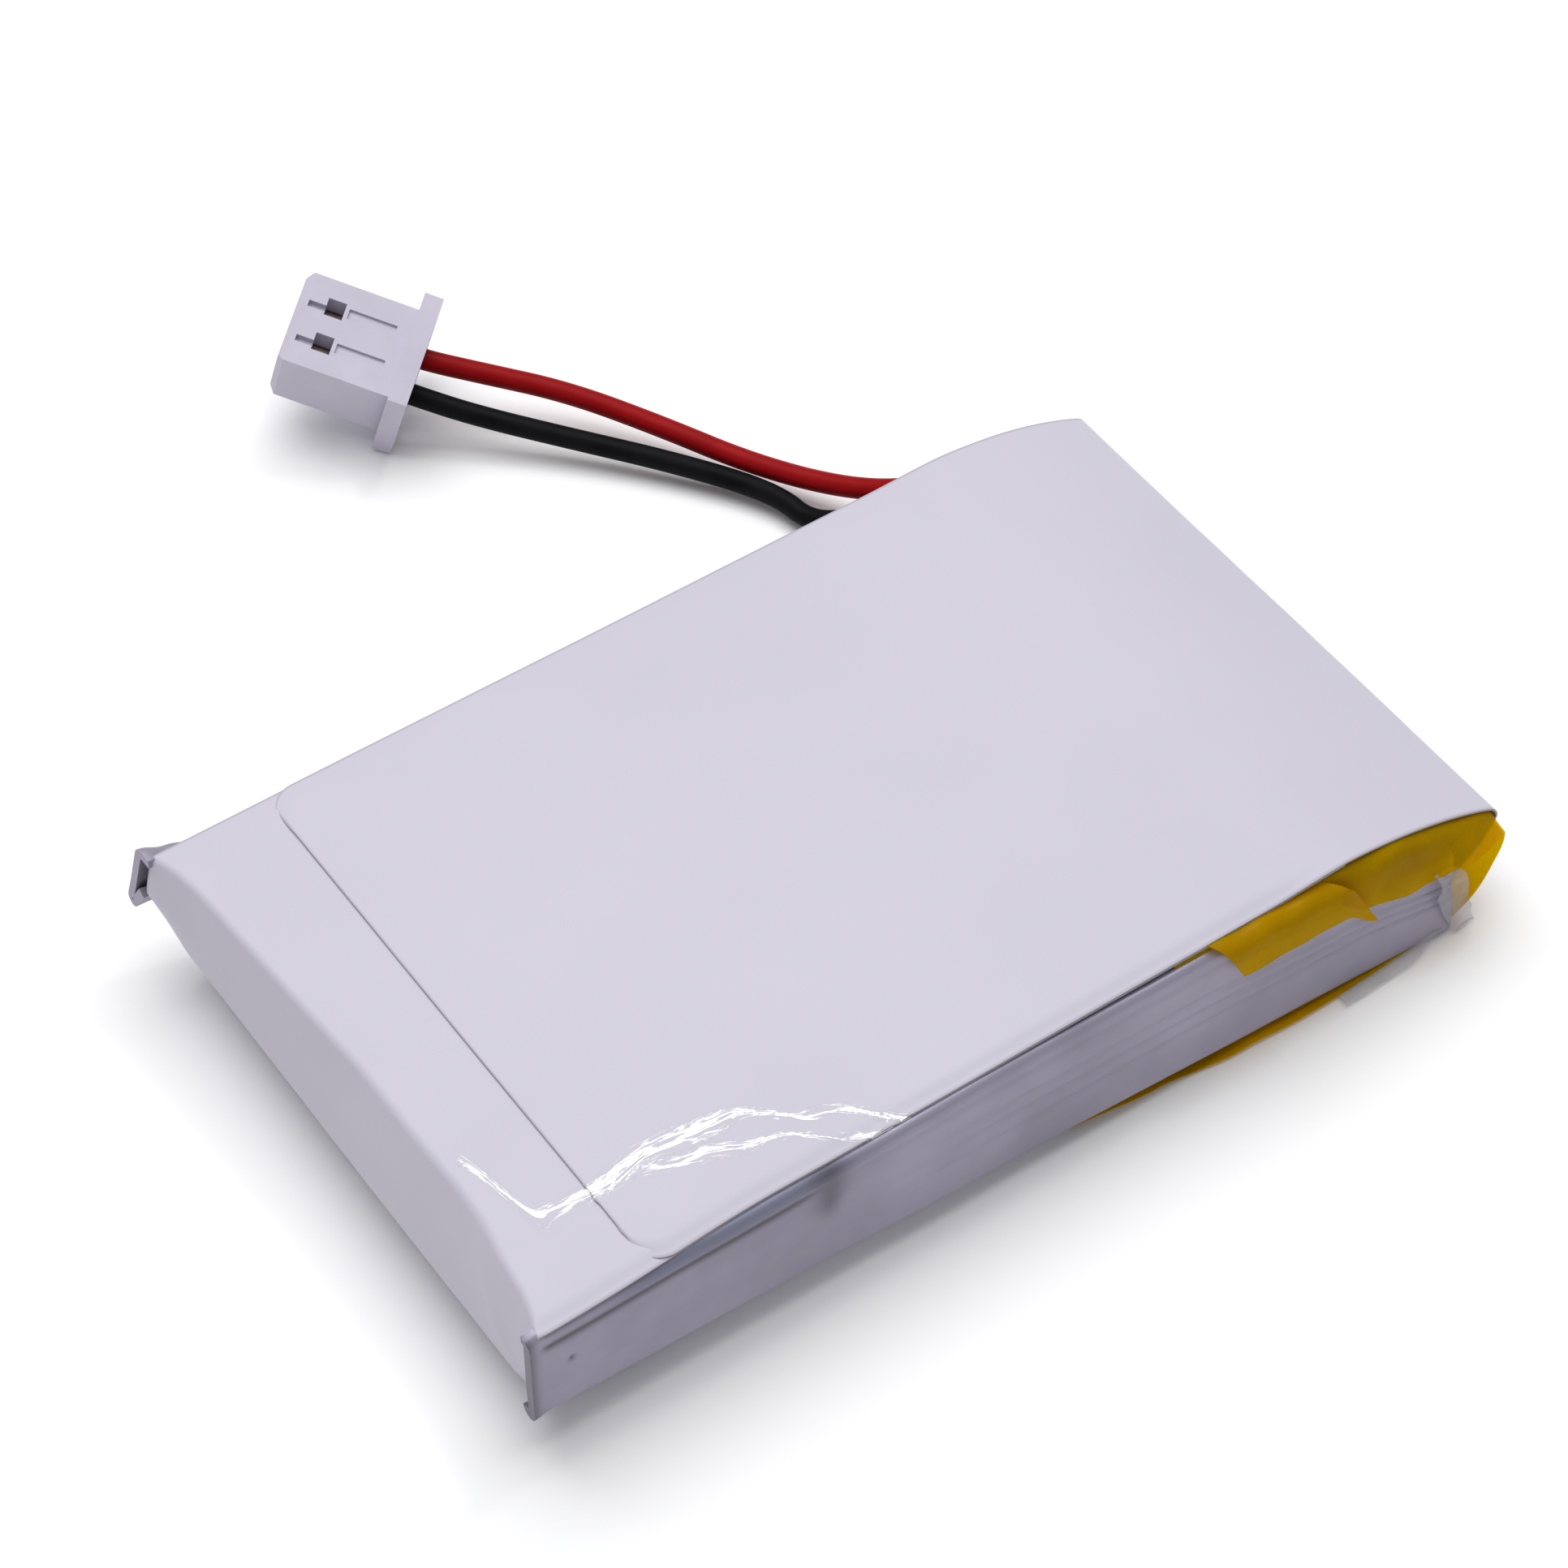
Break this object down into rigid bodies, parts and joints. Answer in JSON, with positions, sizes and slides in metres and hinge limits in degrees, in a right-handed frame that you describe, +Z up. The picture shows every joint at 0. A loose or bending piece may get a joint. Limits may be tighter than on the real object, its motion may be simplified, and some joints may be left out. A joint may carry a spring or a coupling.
{
  "type": "lithium polymer battery pack",
  "caption": "Flat pouch cell in a wrap-round white label, with folded foil side seals, an amber-taped terminal end and two leads to a small two-way plug.",
  "frame": {"origin": "centre of the pack without its leads, on the surface it rests on", "axes": "+X along the length from the folded end to the terminal end, +Y to the side the leads leave, +Z up through the thickness"},
  "size_m": [0.05, 0.0596, 0.008],
  "materials": {
    "white_film": "thin glossy white film, faintly creased at the fold end",
    "pouch_foil": "satin aluminium laminate with pressed wrinkles",
    "separator_film": "thin porous film",
    "copper_foil": "coated copper foil",
    "aluminium_foil": "coated aluminium foil",
    "green_tape": "thin adhesive tape",
    "aluminium_tab": "smooth rolled strip",
    "nickel_tab": "smooth rolled strip",
    "seal_film": "translucent hot-melt film",
    "pad_paper": "thin insulating paper",
    "board_green": "solder resist over glass laminate",
    "chip_black": "moulded resin",
    "resistor_black": "small fired body",
    "capacitor_tan": "small fired body",
    "solder": "bright solder",
    "amber_tape": "glossy see-through polyimide film",
    "clear_tape": "crinkled clear tape",
    "red_jacket": "smooth insulation",
    "black_jacket": "smooth insulation",
    "white_nylon": "satin moulded nylon",
    "tinned_contact": "bright tin plate"
  },
  "bodies": {
    "root": {"anode_foil": "copper_foil", "board_pad": "pad_paper", "cathode_foil": "aluminium_foil", "chip_capacitors": "capacitor_tan", "chip_resistors": "resistor_black", "far_side_seal": "pouch_foil", "hold_down_tape": "amber_tape", "label_film": "white_film", "near_side_seal": "pouch_foil", "negative_contact": "tinned_contact", "negative_lead": "black_jacket", "negative_tab": "nickel_tab", "negative_tab_film": "seal_film", "plug_housing": "white_nylon", "positive_contact": "tinned_contact", "positive_lead": "red_jacket", "positive_tab": "aluminium_tab", "positive_tab_film": "seal_film", "pouch_lower_leaf": "pouch_foil", "pouch_upper_leaf": "pouch_foil", "protection_board": "board_green", "protection_chip": "chip_black", "seal_end_tape": "clear_tape", "separator": "separator_film", "solder_joints": "solder", "switch_transistors": "chip_black", "terminal_cap_tape": "amber_tape", "terminal_seal": "pouch_foil", "underside_tape": "clear_tape", "winding_tape": "green_tape"}
  },
  "joints": []
}
